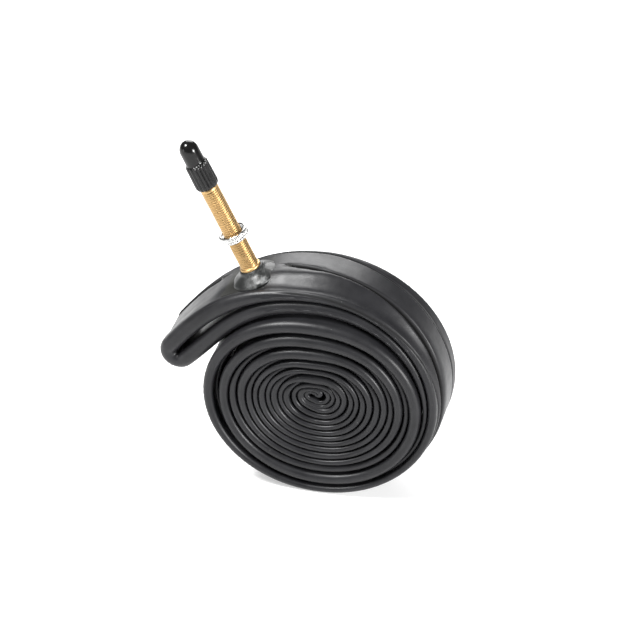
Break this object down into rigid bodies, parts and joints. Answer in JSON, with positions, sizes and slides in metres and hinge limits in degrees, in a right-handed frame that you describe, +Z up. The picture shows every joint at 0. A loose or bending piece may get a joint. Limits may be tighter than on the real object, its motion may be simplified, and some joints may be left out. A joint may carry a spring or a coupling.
{
  "type": "bicycle inner tube",
  "caption": "Deflated bicycle inner tube, flattened, doubled and rolled up, with a threaded narrow air valve, lock ring and dust cap.",
  "frame": {"origin": "middle of the small flat on which the standing roll rests", "axes": "+Z up, the roll's axis along Y with the front of the spiral towards -Y, the loose loop and the valve towards -X"},
  "size_m": [0.0918, 0.024, 0.121],
  "materials": {
    "tube_rubber": "smooth matte butyl rubber",
    "patch_rubber": "smooth rubber with traces of talc",
    "foot_rubber": "smooth moulded rubber",
    "stem_brass": "machined brass, satin",
    "ring_nickel": "bright nickel plate, knurled",
    "core_brass": "machined brass",
    "seal_rubber": "soft black rubber",
    "cap_plastic": "moulded black plastic, semi-gloss"
  },
  "bodies": {
    "tube_and_stem": {"inner_tube": "tube_rubber", "valve_patch": "patch_rubber", "valve_foot": "foot_rubber", "valve_stem": "stem_brass", "core_body": "core_brass", "core_gasket": "seal_rubber"},
    "ring": {"lock_ring": "ring_nickel"},
    "cap": {"dust_cap": "cap_plastic"},
    "nut": {"tip_nut": "core_brass"},
    "pin": {"core_pin": "core_brass", "pin_seal": "seal_rubber"}
  },
  "joints": [
    {"name": "ring_slide", "type": "slide", "parent": "tube_and_stem", "child": "ring", "axis": [-0.3972, -0.0872, 0.9136], "range_m": [-0.0106, 0.0172]},
    {"name": "cap_pull", "type": "slide", "parent": "tube_and_stem", "child": "cap", "axis": [-0.3972, -0.0872, 0.9136], "range_m": [0, 0.025]},
    {"name": "pin_drop", "type": "slide", "parent": "tube_and_stem", "child": "pin", "axis": [0.3972, 0.0872, -0.9136], "range_m": [0, 0.0012]},
    {"name": "nut_turn", "type": "hinge", "parent": "tube_and_stem", "child": "nut", "pos_m": [-0.03962, -0.00371, 0.11451], "axis": [-0.3972, -0.0872, 0.9136], "range_deg": [0, 1080]}
  ],
  "couplings": [
    {"joint": "nut_turn", "follows": "pin_drop", "rad_per_m": 15708}
  ]
}
